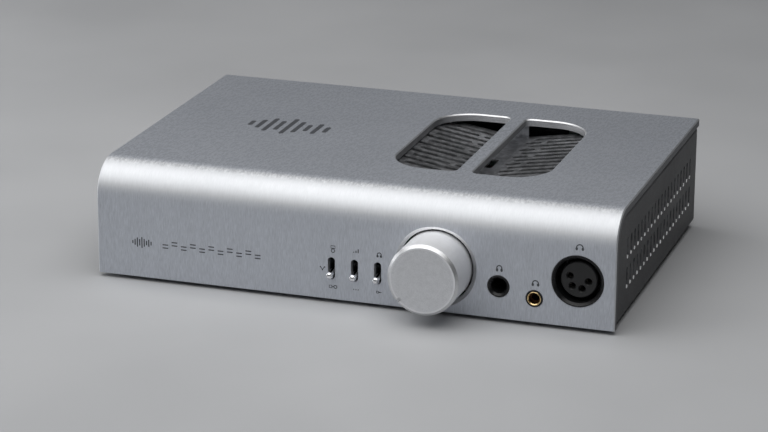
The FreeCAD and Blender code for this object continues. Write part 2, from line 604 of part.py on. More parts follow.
# power rocker
x, z = RK
PY = YW - 4.6                  # rocker pivot
s = rrect(x - 6.4, x + 6.4, z - 9.6, z + 9.6, 0.5, xz(YW - 17.0), (0, 17.0, 0))
s = s.fuse(rrect(x - 7.5, x + 7.5, z - 10.8, z + 10.8, 0.9, xz(YW), (0, 1.6, 0))).removeSplitter()
s = s.cut(box(x - 4.8, x + 4.8, YW - 12.0, YW + 3, z - 8.85, z + 8.85))
s = s.cut(cyl(1.27, (x - 5.75, PY, z), (1, 0, 0), 11.5))
parts["power_switch_housing"] = s
q = [(-2.0, 3.2), (-4.2, 0), (-2.0, -3.2), (2.0, -7.9), (6.9, -7.6), (5.6, 0), (6.9, 7.6), (2.0, 7.9)]
rk = poly([(x - 4.5, PY + a, z + b) for a, b in q], (9.0, 0, 0))
rk = rk.fuse(cyl(1.2, (x - 5.6, PY, z), (1, 0, 0), 11.2)).removeSplitter()
parts["power_rocker"] = turn(rk, (x, PY, z), (1, 0, 0), 8.0)
parts["power_switch_tabs"] = group([box(x - 3, x + 3, YW - 24.0, YW - 17.0, z + dz - 0.4, z + dz + 0.4) for dz in (-6, 0, 6)])

# blanking plate of the option bay
pl = rrect(69.3, 110.7, 4.6, 40.4, 1.2, xz(YW), (0, 1.2, 0))
pl = pl.makeChamfer(0.25, plane_edges(pl, "y", YW + 1.2))
for x in (71.3, 108.7):
    pl = pl.cut(cyl(1.6, (x, YW - 1, 22.5), (0, 1, 0), 4))
parts["option_bay_plate"] = pl

# blocks fixed to the cover, and the screws that hold it to the tray
blocks = []
for x, z in REAR_SCREWS:
    blocks.append(box(x - 5, x + 5, YW - ST - 8.0, YW - ST - 0.05, z - 4.0, ZU).cut(cyl(1.5, (x, YW - 11, z), (0, 1, 0), 12)))
for x, y in BASE_SCREWS:
    blocks.append(box(x - 5, x + 5, YI, y + 3.6, ZB + ST + 0.05, 7.1).cut(cyl(1.5, (x, y, ZB), (0, 0, 1), 4.7)))
parts["cover_blocks"] = group(blocks)
parts["case_screws"] = group(
    [pan_screw((x, YW, z), (0, -1, 0), 7.0) for x, z in REAR_SCREWS]
    + [pan_screw((x, y, ZB), (0, 0, 1), 4.4, head_h=1.4) for x, y in BASE_SCREWS]
    + [pan_screw((x, y, ZB), (0, 0, 1), 3.6, head_h=1.4) for x, y in TX_SCREWS]
    + [pan_screw((x, YW + 1.2, 22.5), (0, -1, 0), 5.0, head_r=2.5, head_h=1.4) for x in (71.3, 108.7)]
)

# ---- circuit board and what is on it ------------------------------------
ST_XY = [(-102, -62), (-102, -14), (-25, -62), (104, -40), (104, 58), (-36, 44), (64, 30)]
outline = [(-109, -71.3), (109, -71.3), (109, 72), (-57.5, 72), (-57.5, 50), (-46, 50), (-46, -10), (-109, -10)]
pcb = Part.Face(Part.makePolygon([V(a, b, PCB_Z0) for a, b in outline] + [V(outline[0][0], outline[0][1], PCB_Z0)])).extrude(V(0, 0, PCB_Z1 - PCB_Z0))
holes = [cyl(1.6, (a, b, PCB_Z0 - 1), (0, 0, 1), 4) for a, b in ST_XY]
for so in parts["solder_pins"].Solids:
    bb = so.BoundBox
    holes.append(box(bb.XMin - 0.1, bb.XMax + 0.1, bb.YMin - 0.1, bb.YMax + 0.1, PCB_Z0 - 1, PCB_Z1 + 1))
for dx in (-7.5, 0, 7.5):
    for yy in (-55.0, -48.0):
        holes.append(box(KX + dx - 0.6, KX + dx + 0.6, yy - 0.5, yy + 0.5, PCB_Z0 - 1, PCB_Z1 + 1))
for dx in (-11, 11):
    holes.append(cyl(1.5, (KX + dx, PB0 - 4.8, PCB_Z0 - 1), (0, 0, 1), 4))
parts["main_circuit_board"] = pcb.cut(Part.makeCompound(holes))
parts["board_standoffs"] = group([hexagon(V(a, b, ZB + ST), V(0, 0, 1), 2.75, PCB_Z0 - ZB - ST).cut(cyl(1.5, (a, b, ZB), (0, 0, 1), 10)) for a, b in ST_XY])
parts["board_screws"] = group([pan_screw((a, b, PZ), (0, 0, -1), 5.5) for a, b in ST_XY] + [pan_screw((KX + dx, PB0 - 4.8, PZ + 1.2), (0, 0, -1), 2.8, r=1.4, head_r=2.0, head_h=1.2, socket=False) for dx in (-11, 11)])

caps = [(-92, -50), (-70, -50), (-48, -50), (-92, -28), (-70, -28), (-48, -28)]
cc = []
for a, b in caps:
    c = cyl(9.0, (a, b, PZ), (0, 0, 1), 28.0)
    c = c.makeFillet(0.8, plane_edges(c, "z", PZ + 28.0))
    cc.append(c.cut(Part.makeTorus(9.3, 0.7, V(a, b, PZ + 3.0), V(0, 0, 1))))
parts["filter_capacitors"] = group(cc)
parts["film_capacitors"] = group([rrect(a - 3.6, a + 3.6, b - 6.5, b + 6.5, 0.6, xy(PZ), (0, 0, 11.0)) for a, b in ((76, -34), (88, -34), (76, -16), (88, -16), (8, 12), (8, 32), (-6, 12), (-6, 32))])
parts["relays"] = group([rrect(a - 5, a + 5, b - 7.5, b + 7.5, 0.5, xy(PZ), (0, 0, 10.0)) for a, b in ((74, 8), (88, 8), (-22, 12), (-22, 30), (82, 48))])
parts["bridge_rectifier"] = rrect(-36, -20, -40.2, -35.8, 0.5, xy(PZ), (0, 0, 16.0))
hs, tr, ts = [], [], []
for y0 in (VY - 40.0, VY + 10.0):
    h = box(VX - 3.5, VX + 3.5, y0, y0 + 30.0, PZ, ZT - TR_DEPTH - TR_T - 0.05)
    for k in (7.0, 23.0):
        y = y0 + k
        h = h.cut(cyl(1.25, (VX - 5, y, 30.0), (1, 0, 0), 10))
        for sgn in (-1, 1):
            xa, xb = sorted((VX + sgn * 3.55, VX + sgn * 8.0))
            t = box(xa, xb, y - 5.0, y + 5.0, 17.0, 26.5)
            xa, xb = sorted((VX + sgn * 3.55, VX + sgn * 4.85))
            t = t.fuse(box(xa, xb, y - 5.0, y + 5.0, 26.5, 33.0))
            for dy in (-2.54, 0, 2.54):
                xa, xb = sorted((VX + sgn * 5.6, VX + sgn * 6.1))
                t = t.fuse(box(xa, xb, y + dy - 0.4, y + dy + 0.4, PZ, 17.0))
            t = t.removeSplitter().cut(cyl(1.7, (VX + sgn * 3, y, 30.0), (sgn, 0, 0), 4))
            tr.append(t)
            ts.append(pan_screw((VX + sgn * 4.9, y, 30.0), (-sgn, 0, 0), 4.2, r=1.2, head_r=2.4, head_h=1.5, socket=False))
    hs.append(h)
parts["heat_spreaders"] = group(hs)
parts["output_transistors"] = group(tr)
parts["transistor_screws"] = group(ts)
ics = []
for a, b in ((60, -16), (60, 2), (16, -18), (16, -34), (0, -34), (0, -18), (96, 30), (74, 30), (-14, -44)):
    ics.append(box(a - 2.0, a + 2.0, b - 2.5, b + 2.5, PZ + 0.1, PZ + 1.7))
parts["driver_chips"] = group(ics)
fh = [box(-31, -29, 52.2 - 3.2, 52.2 + 3.2, PZ, PZ + 6.2), box(-13, -11, 52.2 - 3.2, 52.2 + 3.2, PZ, PZ + 6.2)]
fh = [f.cut(cyl(2.6, (-35, 52.2, PZ + 4.4), (1, 0, 0), 30)) for f in fh]
parts["fuse_clips"] = group(fh)
parts["fuse"] = cyl(2.55, (-31.5, 52.2, PZ + 4.4), (1, 0, 0), 21.0)

# ---- mains transformer --------------------------------------------------
cx, cy = TXC
zc = 24.0
core = box(cx - 28.5, cx + 28.5, cy - 23.75, cy + 23.75, zc - 12, zc + 12)
for sgn in (-1, 1):
    xa, xb = sorted((cx + sgn * 9.5, cx + sgn * 19.0))
    core = core.cut(box(xa, xb, cy - 14.25, cy + 14.25, zc - 13, zc + 13))
parts["transformer_core"] = core
bob = box(cx - 10.4, cx + 10.4, cy - 14.1, cy + 14.1, zc - 12.9, zc + 12.9)
for ya in (cy - 14.1, cy + 13.3):
    bob = bob.fuse(box(cx - 18.8, cx + 18.8, ya, ya + 0.8, zc - 18.5, zc + 18.5))
bob = bob.removeSplitter().cut(box(cx - 9.55, cx + 9.55, cy - 15, cy + 15, zc - 12.05, zc + 12.05))
parts["transformer_bobbin"] = bob
win = rrect(cx - 18.2, cx + 18.2, zc - 17.9, zc + 17.9, 4.0, xz(cy - 13.2), (0, 26.4, 0))
parts["transformer_winding"] = win.cut(box(cx - 10.45, cx + 10.45, cy - 15, cy + 15, zc - 12.95, zc + 12.95))
# strap round the core's ends with a foot at each end
zs = zc + 12.05
fr = []
strap = box(cx - 7, cx + 7, cy - 25.0, cy + 25.0, ZB + ST, zs + 1.2)
strap = strap.cut(box(cx - 8, cx + 8, cy - 23.8, cy + 23.8, ZB, zs))
for sy in (-1, 1):
    ya, yb = sorted((cy + sy * 23.8, cy + sy * 35.0))
    strap = strap.fuse(box(cx - 7, cx + 7, ya, yb, ZB + ST, ZB + 2 * ST))
strap = strap.removeSplitter().cut(box(cx - 19, cx + 19, cy - 14.3, cy + 14.3, ZB + ST + 1.3, 60))
for a, b in TX_SCREWS:
    strap = strap.cut(cyl(1.5, (a, b, ZB), (0, 0, 1), 5))
# shelf that carries the core
for sy in (-1, 1):
    ya, yb = sorted((cy + sy * 16.0, cy + sy * 23.8))
    strap = strap.fuse(box(cx - 7, cx + 7, ya, yb, zc - 13.25, zc - 12.05))
parts["transformer_frame"] = strap.removeSplitter()

# ---- mains wiring -------------------------------------------------------
bx0, bx1 = BL[0][0], BL[2][0]
zi = RK[1]
ye = YW - 25.1
w = [
    wire_tube([(BL[2][0], ye, BL[2][1]), (BL[2][0], 47.2, BL[2][1]), (BL[2][0], 47.2, 11.5), (-66.0, 47.2, 11.5), (-66.0, 47.2, 14.5), (-66.0, YW - 24.1, 14.5)], 0.9, 1.9),
    wire_tube([(RK[0], YW - 24.1, RK[1]), (RK[0], 47.6, RK[1]), (-43.0, 47.6, RK[1]), (-43.0, 47.6, PZ)], 0.9, 2.5),
]
parts["mains_wires"] = group(w)


def main():
    os.makedirs(OUT, exist_ok=True)
    for f in os.listdir(OUT):
        if f.endswith(".step"):
            os.remove(os.path.join(OUT, f))
    for name, shape in parts.items():
        if not shape.isValid():
            print("INVALID", name)
        if shape.ShapeType == "Compound" and len(shape.Solids) == 0:
            print("NO SOLIDS", name)
        if shape.ShapeType not in ("Compound", "Solid"):
            print("TYPE", name, shape.ShapeType)
        shape.exportStep(os.path.join(OUT, name + ".step"))
    print(len(parts), "nodes", sum(len(s.Solids) for s in parts.values()), "solids")


main()
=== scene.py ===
import json
import math
import random

import bmesh
import bpy
from mathutils import Matrix, Vector
from mathutils.bvhtree import BVHTree


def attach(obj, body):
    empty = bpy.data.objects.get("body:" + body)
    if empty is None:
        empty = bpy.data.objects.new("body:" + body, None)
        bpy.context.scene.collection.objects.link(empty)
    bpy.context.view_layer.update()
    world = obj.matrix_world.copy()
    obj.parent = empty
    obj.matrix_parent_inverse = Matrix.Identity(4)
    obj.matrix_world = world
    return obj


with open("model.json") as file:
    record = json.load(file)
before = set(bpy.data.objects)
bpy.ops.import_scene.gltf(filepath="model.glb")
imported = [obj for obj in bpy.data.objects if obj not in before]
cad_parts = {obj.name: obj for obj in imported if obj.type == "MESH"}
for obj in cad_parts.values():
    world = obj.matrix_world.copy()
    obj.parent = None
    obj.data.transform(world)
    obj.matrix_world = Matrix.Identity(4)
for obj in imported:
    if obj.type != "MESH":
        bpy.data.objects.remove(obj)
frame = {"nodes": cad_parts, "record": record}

nodes = frame["nodes"]
KNOB_X, KNOB_Z = 37.7, 21.2
VENT_X, VENT_Y = 37.3, 6.7
record = frame["record"]
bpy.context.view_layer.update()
MM = 0.001
random.seed(7)
scene = bpy.context.scene


# ---------------------------------------------------------------- camera
C = Vector((0.369853, -1.159731, 0.410992))
RIGHT = Vector((0.9497574, 0.3129364, 0.0056267))
DOWN = Vector((0.1017103, -0.2915878, -0.9511212))
FWD = Vector((-0.2959997, 0.9039065, -0.3087666))
cam_data = bpy.data.cameras.new("camera")
cam_data.sensor_fit = "HORIZONTAL"
cam_data.sensor_width = 36.0
cam_data.lens = 2895.8 * 36.0 / 768.0
cam_data.clip_start, cam_data.clip_end = 0.05, 20.0
cam = bpy.data.objects.new("camera", cam_data)
scene.collection.objects.link(cam)
rot = Matrix((RIGHT, -DOWN, -FWD)).transposed()
cam.rotation_mode = "QUATERNION"
cam.rotation_quaternion = rot.to_quaternion()
cam.location = C
scene.camera = cam


# ---------------------------------------------------------------- material tools
class Mat:
    """A node material with short helpers. Coordinates are object coordinates, in metres."""

    def __init__(self, name):
        self.m = bpy.data.materials.new(name)
        self.m.use_nodes = True
        self.t = self.m.node_tree
        self.t.nodes.clear()
        self.out = self.t.nodes.new("ShaderNodeOutputMaterial")
        self.b = self.t.nodes.new("ShaderNodeBsdfPrincipled")
        self.t.links.new(self.b.outputs[0], self.out.inputs["Surface"])
        self.coord = self.t.nodes.new("ShaderNodeTexCoord").outputs["Object"]

    def n(self, kind, **props):
        node = self.t.nodes.new("ShaderNode" + kind)
        for k, v in props.items():
            setattr(node, k, v)
        return node

    def link(self, a, b):
        self.t.links.new(a, b)

    def set(self, **kw):
        names = {"metal": "Metallic", "rough": "Roughness", "color": "Base Color", "ior": "IOR", "coat": "Coat Weight", "coat_rough": "Coat Roughness",
                 "spec": "Specular IOR Level", "aniso": "Anisotropic", "aniso_rot": "Anisotropic Rotation", "sheen": "Sheen Weight", "trans": "Transmission Weight", "alpha": "Alpha"}
        for k, v in kw.items():
            s = self.b.inputs[names[k]]
            if isinstance(v, (tuple, list)):
                v = tuple(v) + (1.0,) * (4 - len(v))
            s.default_value = v
        return self

    def mapped(self, scale=(1, 1, 1), rot=(0, 0, 0), src=None):
        mp = self.n("Mapping")
        mp.inputs["Scale"].default_value = scale
        mp.inputs["Rotation"].default_value = rot
        self.link(src or self.coord, mp.inputs["Vector"])
        return mp.outputs[0]

    def noise(self, scale, detail=3.0, rough=0.5, vec=None, distortion=0.0):
        nz = self.n("TexNoise")
        nz.inputs["Scale"].default_value = scale
        nz.inputs["Detail"].default_value = detail
        nz.inputs["Roughness"].default_value = rough
        nz.inputs["Distortion"].default_value = distortion
        self.link(vec or self.coord, nz.inputs["Vector"])
        return nz.outputs[0]

    def voronoi(self, scale, vec=None, feature="F1", out="Distance"):
        v = self.n("TexVoronoi", feature=feature)
        v.inputs["Scale"].default_value = scale
        self.link(vec or self.coord, v.inputs["Vector"])
        return v.outputs[out]

    def ramp(self, src, stops, interp="LINEAR"):
        r = self.n("ValToRGB")
        r.color_ramp.interpolation = interp
        e = r.color_ramp.elements
        while len(e) > 1:
            e.remove(e[-1])
        for i, (pos, c) in enumerate(stops):
            c = (c, c, c) if not isinstance(c, (tuple, list)) else c
            el = e[0] if i == 0 else e.new(pos)
            el.position = pos
            el.color = tuple(c) + (1.0,)
        self.link(src, r.inputs[0])
        return r.outputs[0]

    def range(self, src, a, b, lo=0.0, hi=1.0, clamp=True):
        r = self.n("MapRange")
        r.clamp = clamp
        for i, v in enumerate((lo, hi, a, b)):
            r.inputs[1 + i].default_value = v
        self.link(src, r.inputs[0])
        return r.outputs[0]

    def math(self, op, a, b=0.0, clamp=False):
        mt = self.n("Math", operation=op)
        mt.use_clamp = clamp
        for i, v in enumerate((a, b)):
            if isinstance(v, (int, float)):
                mt.inputs[i].default_value = v
            else:
                self.link(v, mt.inputs[i])
        return mt.outputs[0]

    def mix(self, fac, a, b):
        mx = self.n("Mix", data_type="RGBA")
        ins = [s for s in mx.inputs if s.name in ("Factor", "A", "B") and (s.type in ("VALUE", "RGBA"))]
        f = mx.inputs[0]
        A, B = mx.inputs[6], mx.inputs[7]
        for s, v in ((f, fac), (A, a), (B, b)):
            if isinstance(v, (int, float)) and s is f:
                s.default_value = v
            elif isinstance(v, (tuple, list)):
                s.default_value = tuple(v) + (1.0,) * (4 - len(v))
            else:
                self.link(v, s)
        return mx.outputs[2]

    def color(self, src):
        self.link(src, self.b.inputs["Base Color"])
        return self

    def rough(self, src):
        self.link(src, self.b.inputs["Roughness"])
        return self

    def bump(self, src, strength=0.3, dist=0.00005, prev=None):
        bp = self.n("Bump")
        bp.inputs["Strength"].default_value = strength
        bp.inputs["Distance"].default_value = dist
        self.link(src, bp.inputs["Height"])
        if prev is not None:
            self.link(prev, bp.inputs["Normal"])
        self.link(bp.outputs[0], self.b.inputs["Normal"])
        return bp.outputs[0]

    def sep(self, vec=None):
        s = self.n("SeparateXYZ")
        self.link(vec or self.coord, s.inputs[0])
        return s.outputs

    def edge(self, lo=0.515, hi=0.60):
        """0 on flats, 1 on convex edges."""
        g = self.n("NewGeometry")
        return self.range(g.outputs["Pointiness"], 0.0, 1.0, lo, hi)


def metal_brushed():
    m = Mat("brushed_aluminium").set(metal=1.0)
    nrm = m.n("TexCoord").outputs["Normal"]
    nxyz = m.sep(nrm)
    nz = nxyz[2]
    flat = m.range(nz, 0.0, 1.0, 0.90, 0.998)
    top_shade_mask = m.range(nz, 0.0, 1.0, 0.965, 0.9995)
    # the front and the bend have a short upright grain, the top a blasted one
    fine = m.noise(1.0, 2.0, 0.6, m.mapped((2900, 330, 330)))
    mid = m.noise(1.0, 3.0, 0.6, m.mapped((1250, 200, 200)))
    wide = m.noise(1.0, 2.0, 0.5, m.mapped((230, 16, 16)))
    front = m.math("ADD", m.math("ADD", m.math("MULTIPLY", fine, 0.36), m.math("MULTIPLY", mid, 0.15)), m.math("ADD", m.math("MULTIPLY", wide, 0.05), 0.22))
    # the grain shows more on the upright panel than round the bend
    gain = m.range(nxyz[1], 1.45, 0.6, -0.999, -0.93)
    front = m.math("ADD", m.math("MULTIPLY", m.math("SUBTRACT", front, 0.5), gain), 0.5)
    t1 = m.noise(1.0, 2.0, 0.55, m.mapped((1500, 900, 1500)))
    t2 = m.noise(1.0, 3.0, 0.6, m.mapped((880, 340, 880)))
    t3 = m.noise(95.0, 3.0, 0.55)
    top = m.math("SUBTRACT", m.math("ADD", m.math("ADD", m.math("MULTIPLY", t1, 1.5), m.math("MULTIPLY", t2, 2.7)), m.math("MULTIPLY", t3, 0.2)), 1.70)
    tone = m.math("ADD", m.math("MULTIPLY", front, m.math("SUBTRACT", 1.0, flat)), m.math("MULTIPLY", top, flat))
    cloud = m.noise(12.0, 2.0, 0.5)
    col = m.ramp(tone, [(0.30, (0.536, 0.548, 0.568)), (0.5, (0.648, 0.660, 0.680)), (0.70, (0.762, 0.774, 0.796))])
    # the flat top and front are painted a cooler, darker tone than the bend: painted shade on the flats, a painted
    # highlight round the bend
    flats_shade_col = m.ramp(tone, [(0.30, (0.508, 0.532, 0.574)), (0.5, (0.616, 0.642, 0.690)), (0.70, (0.728, 0.757, 0.812))])
    flats_shade_mask = m.math("MAXIMUM", top_shade_mask, m.range(nxyz[1], 1.0, 0.0, -0.999, -0.93))
    col = m.mix(flats_shade_mask, col, flats_shade_col)
    col = m.mix(m.range(cloud, 0.0, 0.08, 0.35, 0.7), col, (0.59, 0.60, 0.625))
    # the flat top is painted darker and bluer still, painted shade
    m.color(m.mix(m.math("MULTIPLY", top_shade_mask, 0.24), col, (0.188, 0.203, 0.240)))
    m.rough(m.math("ADD", m.range(tone, 0.62, 0.54, 0.32, 0.68), m.range(cloud, 0.0, 0.03, 0.3, 0.7)))
    m.bump(tone, 0.36, 0.00004)
    return m.m


def metal_turned():
    m = Mat("knob_aluminium").set(metal=1.0)
    x, y, z = m.sep()
    dx, dz = m.math("SUBTRACT", x, KNOB_X * MM), m.math("SUBTRACT", z, KNOB_Z * MM)
    r = m.math("SQRT", m.math("ADD", m.math("MULTIPLY", dx, dx), m.math("MULTIPLY", dz, dz)))
    v = m.n("CombineXYZ")
    for i, src in enumerate((m.math("MULTIPLY", r, 1500.0), m.math("MULTIPLY", y, 1500.0), m.math("MULTIPLY", z, 60.0))):
        m.link(src, v.inputs[i])
    ring = m.noise(1.0, 2.0, 0.55, v.outputs[0])
    blast = m.noise(2600.0, 2.0, 0.6)
    soft = m.noise(420.0, 3.0, 0.55)
    side = m.range(r, 0.0, 1.0, 0.01325, 0.01345)
    t = m.math("ADD", m.math("ADD", m.math("MULTIPLY", ring, 0.10), m.math("MULTIPLY", blast, 0.50)), m.math("MULTIPLY", soft, 0.40))
    col = m.ramp(t, [(0.32, (0.68, 0.688, 0.705)), (0.5, (0.755, 0.763, 0.782)), (0.68, (0.83, 0.838, 0.858))])
    m.color(m.mix(m.math("MULTIPLY", side, 0.7), col, (0.93, 0.935, 0.95)))
    m.rough(m.math("ADD", m.range(t, 0.56, 0.46, 0.3, 0.7), m.math("MULTIPLY", side, 0.13)))
    m.bump(t, 0.32, 0.00003)
    return m.m


def metal_satin(name="satin_aluminium", col=(0.66, 0.665, 0.675), rough=0.33, grain=2600):
    m = Mat(name).set(metal=1.0)
    a = m.noise(grain, 2.0, 0.6)
    b = m.noise(420.0, 3.0, 0.55)
    c = m.noise(35.0, 2.0, 0.5)
    t = m.math("ADD", m.math("MULTIPLY", a, 0.6), m.math("MULTIPLY", b, 0.4))
    dark = tuple(x * 0.82 for x in col)
    m.color(m.mix(m.range(t, 0.0, 1.0, 0.3, 0.7), dark, col))
    m.rough(m.math("ADD", m.range(t, rough - 0.04, rough + 0.06, 0.3, 0.7), m.range(c, -0.02, 0.03, 0.3, 0.7)))
    m.bump(t, 0.35, 0.00003)
    return m.m


def milled_wall(name="milled_wall"):
    """Milled edge of an opening, with fine tool lines along it: painted lighter where the wall faces the front, a
    painted highlight, and darker on the other walls, painted shade.
    """
    m = Mat(name).set(metal=1.0)
    sep = m.n("SeparateXYZ")
    m.link(m.n("TexCoord").outputs["Normal"], sep.inputs[0])
    lit_facing_mask = m.range(sep.outputs[1], 1.0, 0.0, -0.95, -0.25)
    a = m.noise(1900.0, 2.0, 0.6)
    lines = m.noise(1.0, 2.0, 0.5, m.mapped((70, 70, 2400)))
    t = m.math("ADD", m.math("MULTIPLY", a, 0.4), m.math("MULTIPLY", lines, 0.6))
    # painted highlight on the walls that face the front, painted shade on the rest
    light = m.mix(m.range(t, 0.0, 1.0, 0.34, 0.66), (0.53, 0.536, 0.552), (0.74, 0.746, 0.762))
    dark = m.mix(m.range(t, 0.0, 1.0, 0.34, 0.66), (0.33, 0.334, 0.345), (0.42, 0.424, 0.436))
    m.color(m.mix(lit_facing_mask, dark, light))
    m.rough(m.range(t, 0.52, 0.66, 0.3, 0.7))
    m.bump(t, 0.35, 0.00003)
    return m.m


def hole_bevel(name="hole_bevel"):
    """Turned bevel round the knob's hole: painted with a highlight over its upper part and painted shade below."""
    m = Mat(name).set(metal=1.0)
    z = m.sep()[2]
    bevel_highlight_mask = m.range(z, 0.0, 1.0, (KNOB_Z + 1.0) * MM, (KNOB_Z + 15.5) * MM)
    a = m.noise(2400.0, 2.0, 0.6)
    bevel_shaded_col = m.mix(m.range(a, 0.0, 1.0, 0.3, 0.7), (0.36, 0.364, 0.376), (0.46, 0.465, 0.478))
    bevel_lit_col = m.mix(m.range(a, 0.0, 1.0, 0.3, 0.7), (0.84, 0.845, 0.86), (0.95, 0.955, 0.965))
    # the upper part of the bevel is painted bright, a painted highlight; the lower part darker, painted shade
    m.color(m.mix(bevel_highlight_mask, bevel_shaded_col, bevel_lit_col))
    m.rough(m.range(a, 0.38, 0.46, 0.3, 0.7))
    m.bump(a, 0.25, 0.00002)
    return m.m


def plated(name, col, rough=0.16, scratch=0.3):
    m = Mat(name).set(metal=1.0)
    s = m.noise(1.0, 2.0, 0.5, m.mapped((1800, 1800, 240)))
    c = m.noise(160.0, 3.0, 0.6)
    dark = tuple(x * 0.78 for x in col)
    m.color(m.mix(m.range(c, 0.0, 0.5, 0.4, 0.75), col, dark))
    m.rough(m.math("ADD", m.range(s, rough * 0.7, rough * 1.4, 0.3, 0.7), m.range(c, 0.0, 0.06, 0.4, 0.7)))
    m.bump(s, scratch, 0.00001)
    return m.m


def powder(name, col, rough=0.48, metal=0.25, scale=1500.0, spec=0.5):
    m = Mat(name).set(metal=metal, spec=spec)
    a = m.noise(scale, 2.0, 0.5)
    b = m.noise(scale * 0.22, 2.0, 0.5)
    c = m.noise(20.0, 2.0, 0.5)
    t = m.math("ADD", m.math("MULTIPLY", a, 0.55), m.math("MULTIPLY", b, 0.45))
    dark = tuple(x * 0.8 for x in col)
    lite = tuple(min(1.0, x * 1.15 + 0.004) for x in col)
    base = m.mix(m.range(t, 0.0, 1.0, 0.32, 0.68), dark, lite)
    worn = m.math("MULTIPLY", m.edge(0.53, 0.62), m.range(b, 0.0, 0.7, 0.4, 0.65))
    m.color(m.mix(worn, base, tuple(min(1.0, x * 1.8 + 0.03) for x in col)))
    m.rough(m.math("ADD", m.range(t, rough - 0.06, rough + 0.08, 0.3, 0.7), m.range(c, -0.03, 0.03, 0.3, 0.7)))
    m.bump(t, 0.5, 0.00006)
    return m.m


def plastic(name, col, rough=0.42, scale=2200.0, strength=0.25, spec=0.5):
    m = Mat(name).set(spec=spec)
    a = m.noise(scale, 2.0, 0.55)
    b = m.noise(60.0, 3.0, 0.6)
    dark = tuple(x * 0.75 for x in col)
    lite = tuple(min(1.0, x * 1.2 + 0.003) for x in col)
    base = m.mix(m.range(a, 0.0, 1.0, 0.3, 0.7), dark, lite)
    m.color(m.mix(m.math("MULTIPLY", m.edge(0.53, 0.65), 0.35), base, tuple(min(1.0, x * 1.6 + 0.02) for x in col)))
    m.rough(m.math("ADD", m.range(a, rough - 0.05, rough + 0.07, 0.3, 0.7), m.range(b, -0.04, 0.05, 0.3, 0.7)))
    m.bump(a, strength, 0.00003)
    return m.m


def ink(name="print_ink", col=(0.055, 0.058, 0.065)):
    m = Mat(name).set(spec=0.35)
    a = m.noise(4200.0, 2.0, 0.5)
    b = m.noise(300.0, 2.0, 0.5)
    m.color(m.mix(m.range(a, 0.0, 1.0, 0.3, 0.7), tuple(x * 0.8 for x in col), tuple(x * 1.35 for x in col)))
    m.rough(m.range(b, 0.5, 0.66, 0.3, 0.7))
    m.bump(a, 0.2, 0.00001)
    return m.m


def laminate():
    m = Mat("board_laminate").set(spec=0.5, coat=0.15, coat_rough=0.3)
    x, y, z = m.sep()
    # copper runs under the solder mask: two families of narrow tracks broken up by cells
    cell = m.n("TexVoronoi", feature="F1", distance="CHEBYCHEV")
    cell.inputs["Scale"].default_value = 85.0
    m.link(m.coord, cell.inputs["Vector"])
    pick = m.math("GREATER_THAN", m.sep(cell.outputs["Color"])[0], 0.5)
    fx = m.math("PINGPONG", m.math("MULTIPLY", x, 1000.0), 0.6)
    fy = m.math("PINGPONG", m.math("MULTIPLY", y, 1000.0), 0.6)
    tx = m.math("GREATER_THAN", fx, 0.38)
    ty = m.math("GREATER_THAN", fy, 0.38)
    tr = m.math("ADD", m.math("MULTIPLY", tx, pick), m.math("MULTIPLY", ty, m.math("SUBTRACT", 1.0, pick)))
    n1 = m.noise(900.0, 2.0, 0.5)
    base = m.mix(m.range(n1, 0.0, 1.0, 0.3, 0.7), (0.010, 0.055, 0.032), (0.016, 0.080, 0.045))
    m.color(m.mix(tr, base, (0.035, 0.16, 0.085)))
    m.rough(m.range(n1, 0.28, 0.40, 0.3, 0.7))
    m.bump(m.math("ADD", tr, m.math("MULTIPLY", n1, 0.2)), 0.4, 0.00004)
    return m.m


def winding():
    m = Mat("tape_yellow").set(spec=0.5)
    x, y, z = m.sep()
    lap = m.math("PINGPONG", m.math("MULTIPLY", y, 1000.0), 5.5)
    seam = m.range(lap, 1.0, 0.0, 0.0, 0.35)
    n1 = m.noise(240.0, 3.0, 0.55)
    base = m.mix(m.range(n1, 0.0, 1.0, 0.3, 0.7), (0.55, 0.36, 0.05), (0.70, 0.50, 0.10))
    m.color(m.mix(seam, base, (0.30, 0.19, 0.03)))
    m.rough(m.range(n1, 0.26, 0.42, 0.3, 0.7))
    m.bump(m.math("ADD", m.math("MULTIPLY", seam, -1.0), m.math("MULTIPLY", n1, 0.4)), 0.5, 0.0001)
    return m.m


def core():
    m = Mat("core_steel").set(metal=0.85)
    lam = m.noise(1.0, 2.0, 0.6, m.mapped((8, 8, 2400)))
    n1 = m.noise(120.0, 3.0, 0.6)
    m.color(m.mix(m.range(lam, 0.0, 1.0, 0.35, 0.65), (0.07, 0.07, 0.075), (0.20, 0.20, 0.21)))
    m.rough(m.math("ADD", m.range(lam, 0.38, 0.58, 0.3, 0.7), m.range(n1, -0.04, 0.05, 0.3, 0.7)))
    m.bump(lam, 0.6, 0.0001)
    return m.m


def sleeve():
    m = Mat("sleeve_plastic").set(spec=0.5)
    x, y, z = m.sep()
    n1 = m.noise(500.0, 2.0, 0.5)
    n2 = m.noise(45.0, 2.0, 0.5)
    base = m.mix(m.range(n1, 0.0, 1.0, 0.3, 0.7), (0.010, 0.012, 0.02), (0.02, 0.024, 0.036))
    top = m.math("GREATER_THAN", z, 0.0372)
    m.color(m.mix(top, base, (0.45, 0.45, 0.46)))
    m.link(top, m.b.inputs["Metallic"])
    m.rough(m.math("ADD", m.range(n1, 0.22, 0.30, 0.3, 0.7), m.range(n2, 0.0, 0.08, 0.3, 0.7)))
    m.bump(n2, 0.3, 0.0001)
    return m.m


